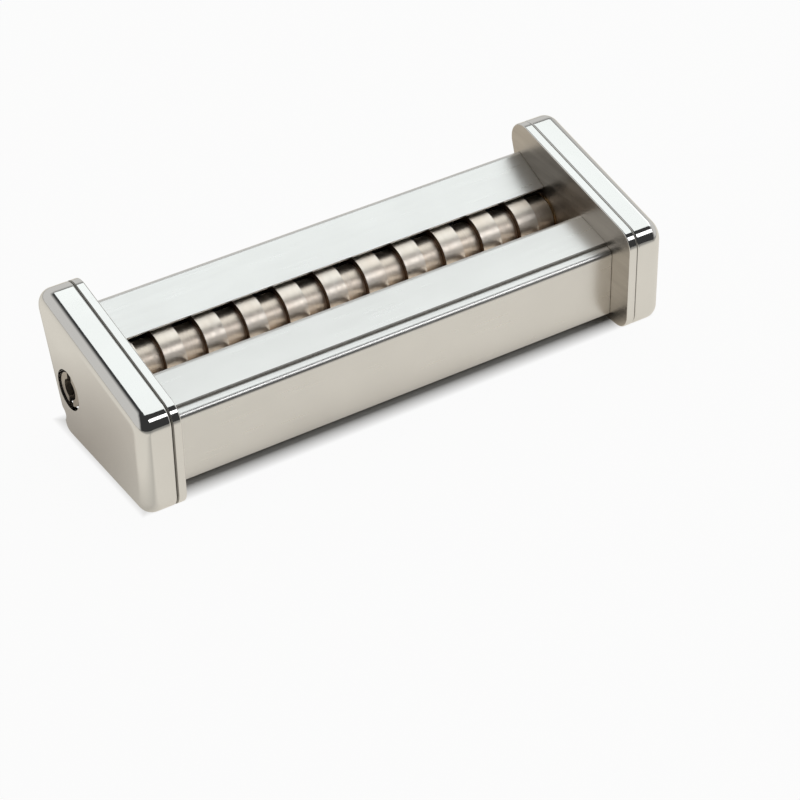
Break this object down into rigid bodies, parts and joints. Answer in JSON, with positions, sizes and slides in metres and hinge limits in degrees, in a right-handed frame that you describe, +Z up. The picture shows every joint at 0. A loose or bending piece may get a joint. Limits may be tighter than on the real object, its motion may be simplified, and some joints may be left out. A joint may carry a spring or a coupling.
{
  "type": "pasta cutting roller attachment",
  "caption": "Plated attachment for a pasta machine: interleaved grooved cutting rollers between end caps, with sloping feed plates above and stripping combs below.",
  "frame": {"origin": "bottom centre of the bounding box, on the surface that the end caps stand on", "axes": "+X along the rollers towards the gear end, +Y to the rear where the attachment hooks onto its machine, +Z up"},
  "size_m": [0.169, 0.059, 0.0429],
  "materials": {
    "chrome_plate": "bright chrome plating",
    "plate_steel": "plated steel sheet",
    "roller_nickel": "turned and nickel plated",
    "comb_steel": "stamped stainless steel",
    "bush_bronze": "sintered bronze",
    "gear_steel": "cut steel",
    "clip_steel": "blackened spring steel",
    "zinc_steel": "bright zinc plating"
  },
  "bodies": {
    "housing": {"left_end_cap": "chrome_plate", "right_end_cap": "chrome_plate", "left_side_plate": "plate_steel", "right_side_plate": "plate_steel", "front_cover": "chrome_plate", "front_feed_plate": "chrome_plate", "rear_cover": "chrome_plate", "front_comb": "comb_steel", "rear_comb": "comb_steel", "front_left_bush": "bush_bronze", "front_right_bush": "bush_bronze", "rear_left_bush": "bush_bronze", "rear_right_bush": "bush_bronze", "front_upper_tie_rod": "zinc_steel", "front_lower_tie_rod": "zinc_steel", "rear_tie_rod": "zinc_steel", "tie_rod_nuts": "zinc_steel", "cap_screws": "zinc_steel"},
    "rear_roller": {"rear_cutting_roller": "roller_nickel", "rear_roller_gear": "gear_steel", "rear_gear_clip": "clip_steel"},
    "front_roller": {"front_cutting_roller": "roller_nickel", "front_roller_gear": "gear_steel", "front_gear_clip": "clip_steel"}
  },
  "joints": [
    {"name": "rear_roller_spin", "type": "hinge", "parent": "housing", "child": "rear_roller", "pos_m": [0, 0.01257, 0.01796], "axis": [1, 0, 0], "continuous": true},
    {"name": "front_roller_spin", "type": "hinge", "parent": "housing", "child": "front_roller", "pos_m": [0, -0.00308, 0.01463], "axis": [1, 0, 0], "continuous": true}
  ],
  "couplings": [
    {"joint": "front_roller_spin", "follows": "rear_roller_spin", "ratio": -1}
  ]
}
